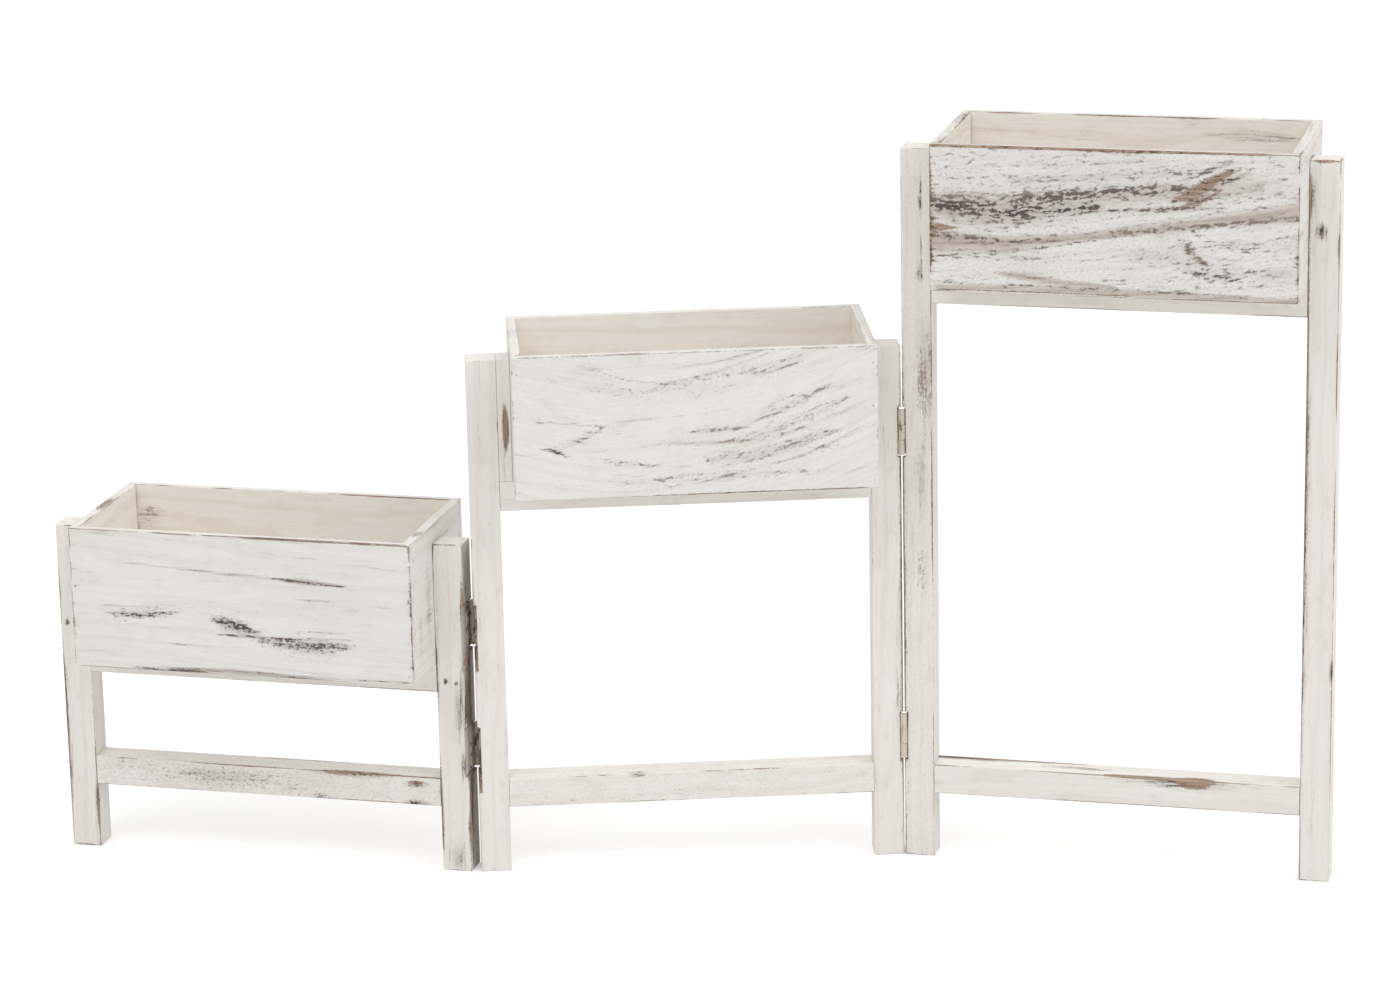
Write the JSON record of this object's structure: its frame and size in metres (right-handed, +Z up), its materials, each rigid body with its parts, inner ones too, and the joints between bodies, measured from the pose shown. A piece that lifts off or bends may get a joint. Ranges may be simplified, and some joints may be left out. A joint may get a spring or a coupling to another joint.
{
  "type": "folding tiered planter stand",
  "caption": "Folding tiered plant stand: upright square-stock frames of stepped height, hinged leg to leg as a zigzag screen, each carrying an open wooden planter box.",
  "frame": {"origin": "on the floor under the centre of the middle frame", "axes": "+X along the row towards the tall frame, +Y towards the back of the row, +Z up"},
  "size_m": [1.0464, 0.3404, 0.62],
  "materials": {
    "frame_wood": "worn whitewash",
    "box_wood": "worn whitewash",
    "hinge_steel": "painted over, worn",
    "fastener_steel": "dull"
  },
  "bodies": {
    "middle_frame": {"middle_left_leg": "frame_wood", "middle_right_leg": "frame_wood", "middle_stretcher": "frame_wood", "middle_box_rail": "frame_wood", "middle_spacer_block": "frame_wood", "middle_front_board": "box_wood", "middle_back_board": "box_wood", "middle_left_end_board": "box_wood", "middle_right_end_board": "box_wood", "middle_bottom_board": "box_wood", "middle_box_screws": "fastener_steel", "middle_box_brads": "fastener_steel", "middle_hinge_screws": "fastener_steel", "short_hinge_upper_fixed_leaf": "hinge_steel", "short_hinge_upper_pin": "hinge_steel", "short_hinge_lower_fixed_leaf": "hinge_steel", "short_hinge_lower_pin": "hinge_steel", "tall_hinge_upper_fixed_leaf": "hinge_steel", "tall_hinge_upper_pin": "hinge_steel", "tall_hinge_lower_fixed_leaf": "hinge_steel", "tall_hinge_lower_pin": "hinge_steel"},
    "short_frame": {"short_left_leg": "frame_wood", "short_right_leg": "frame_wood", "short_stretcher": "frame_wood", "short_box_rail": "frame_wood", "short_spacer_block": "frame_wood", "short_front_board": "box_wood", "short_back_board": "box_wood", "short_left_end_board": "box_wood", "short_right_end_board": "box_wood", "short_bottom_board": "box_wood", "short_box_screws": "fastener_steel", "short_box_brads": "fastener_steel", "short_hinge_screws": "fastener_steel", "short_hinge_upper_swing_leaf": "hinge_steel", "short_hinge_lower_swing_leaf": "hinge_steel"},
    "tall_frame": {"tall_left_leg": "frame_wood", "tall_right_leg": "frame_wood", "tall_stretcher": "frame_wood", "tall_box_rail": "frame_wood", "tall_spacer_block": "frame_wood", "tall_front_board": "box_wood", "tall_back_board": "box_wood", "tall_left_end_board": "box_wood", "tall_right_end_board": "box_wood", "tall_bottom_board": "box_wood", "tall_box_screws": "fastener_steel", "tall_box_brads": "fastener_steel", "tall_hinge_screws": "fastener_steel", "tall_hinge_upper_swing_leaf": "hinge_steel", "tall_hinge_lower_swing_leaf": "hinge_steel"}
  },
  "joints": [
    {"name": "short_frame_hinge", "type": "hinge", "parent": "middle_frame", "child": "short_frame", "pos_m": [-0.17775, 0.013, 0.158], "axis": [0, 0, 1], "range_deg": [-162, 18]},
    {"name": "tall_frame_hinge", "type": "hinge", "parent": "middle_frame", "child": "tall_frame", "pos_m": [0.17775, -0.013, 0.236], "axis": [0, 0, 1], "range_deg": [-162, 18]}
  ]
}
